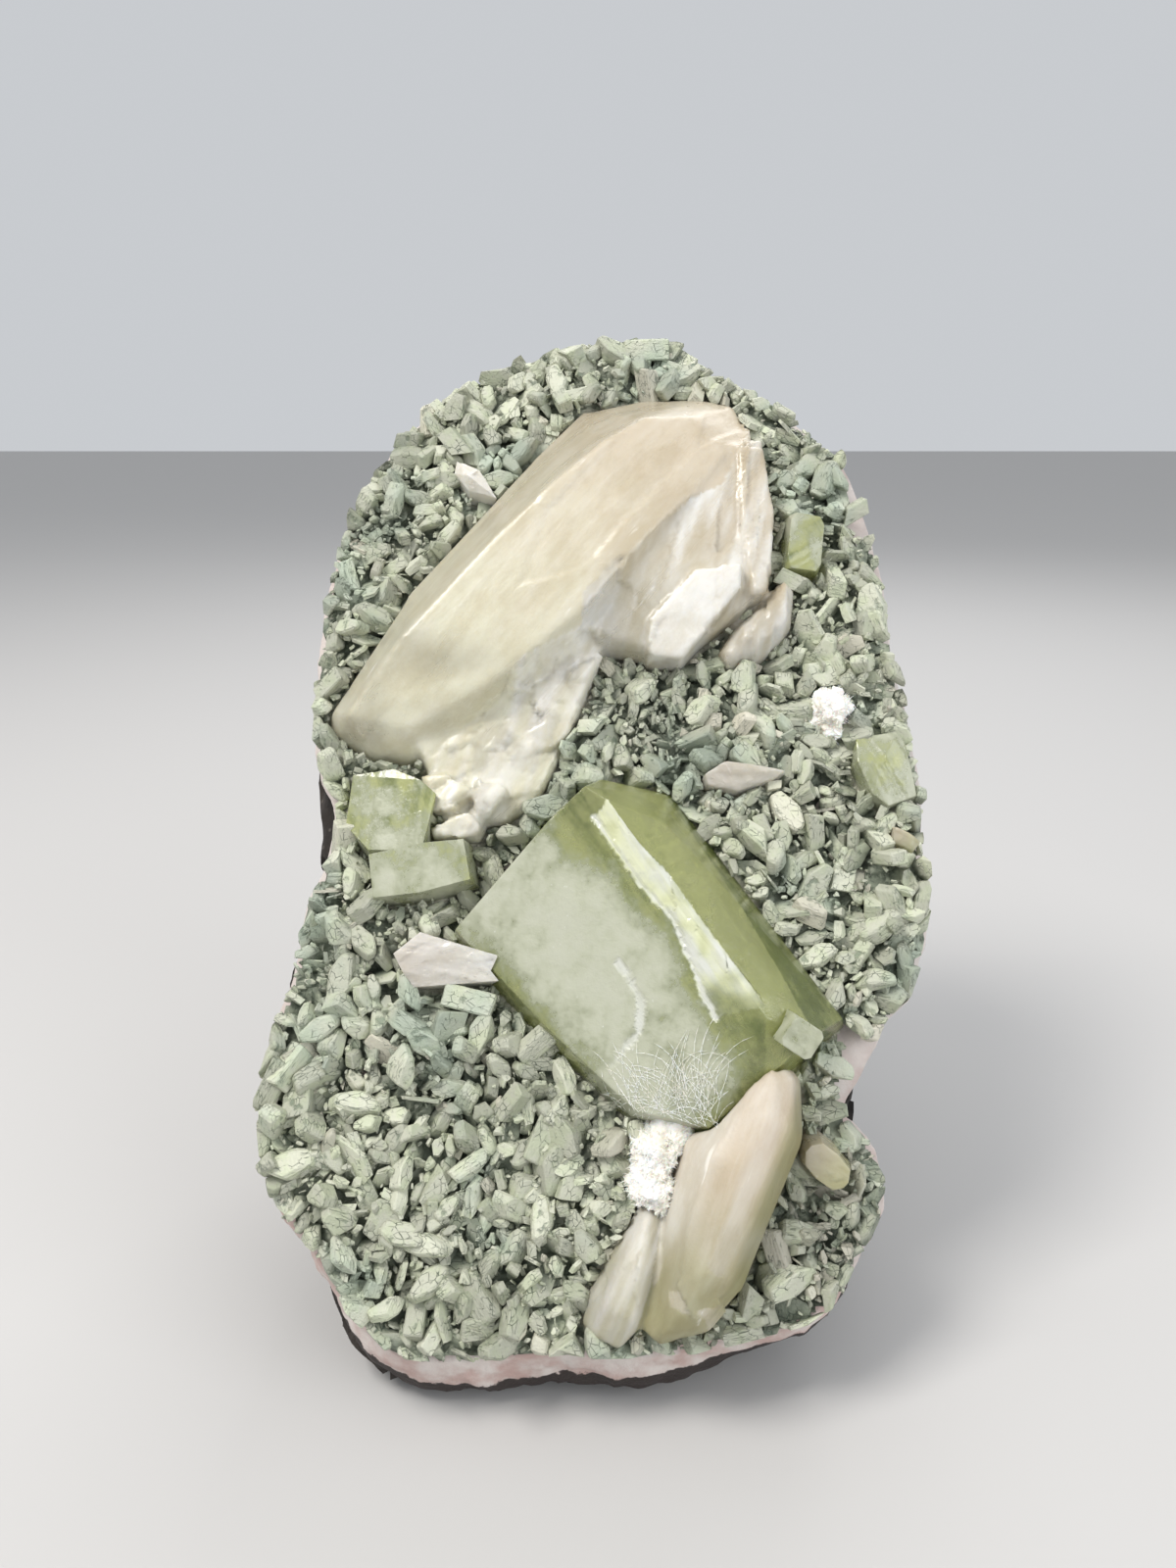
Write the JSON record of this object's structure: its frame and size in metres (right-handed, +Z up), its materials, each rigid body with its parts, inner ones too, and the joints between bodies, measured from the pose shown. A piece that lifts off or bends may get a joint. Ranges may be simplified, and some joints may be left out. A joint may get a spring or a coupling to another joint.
{
  "type": "heulandite with apophyllite and stilbite on basalt",
  "caption": "Block of basalt resting on a flat cut; its leaning front face carries a green heulandite carpet with large stilbite and apophyllite crystals.",
  "frame": {"origin": "middle of the bounding box, on the surface that the specimen stands on", "axes": "+Z up, crystal face towards -Y and leaning back by 33 degrees, +X to the right as seen from the front"},
  "size_m": [0.0897, 0.0942, 0.1326],
  "materials": {
    "basalt": "rough, dark brown-black, with rust spots",
    "chalcedony": "waxy, pinkish white, slightly rough",
    "heulandite": "satin, pale green tips on darker green feet",
    "stilbite": "pearly cream, slightly translucent",
    "stilbite_pink": "pearly pinkish white",
    "apophyllite": "clear green with a frosted, cloudy face",
    "mordenite": "matt white fibres"
  },
  "bodies": {
    "root": {"basalt_matrix": "basalt", "chalcedony_layer": "chalcedony", "heulandite_druse": "heulandite", "stilbite_sheaf": "stilbite", "stilbite_bowtie": "stilbite", "stilbite_blade": "stilbite_pink", "stilbite_flake": "stilbite_pink", "stilbite_bud": "stilbite", "stilbite_lobe_right": "stilbite", "stilbite_lobe_edge": "stilbite", "apophyllite_main": "apophyllite", "apophyllite_left": "apophyllite", "apophyllite_right": "apophyllite", "apophyllite_upper": "apophyllite", "apophyllite_tip": "apophyllite", "mordenite_puff": "mordenite", "mordenite_tuft": "mordenite"}
  },
  "joints": []
}
